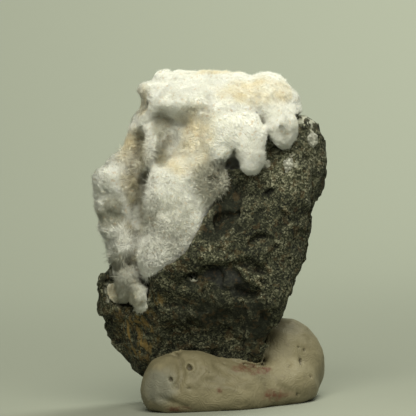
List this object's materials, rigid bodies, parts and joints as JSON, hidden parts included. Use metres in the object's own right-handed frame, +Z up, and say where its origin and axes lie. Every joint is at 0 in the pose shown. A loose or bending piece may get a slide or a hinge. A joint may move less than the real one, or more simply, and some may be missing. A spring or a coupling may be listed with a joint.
{
  "type": "okenite puffball specimen",
  "caption": "Mineral specimen: white okenite puffs grown together in and over an open hollow of dark basalt, standing in a flat-bottomed lump of museum putty.",
  "frame": {"origin": "middle of the putty's flat foot, on the surface that the specimen stands on", "axes": "+Z up, +X to the right seen from the front, -Y towards the front, which is the side where the hollow opens"},
  "size_m": [0.0429, 0.027, 0.061],
  "materials": {
    "basalt": "matte",
    "okenite": "matte",
    "zeolite": "satin",
    "putty": "matte"
  },
  "bodies": {
    "root": {"basalt_matrix": "basalt", "zeolite_amygdule_middle": "zeolite", "zeolite_amygdule_left": "zeolite", "zeolite_amygdule_top": "zeolite", "okenite_puffs": "okenite", "putty_holder": "putty"}
  },
  "joints": []
}
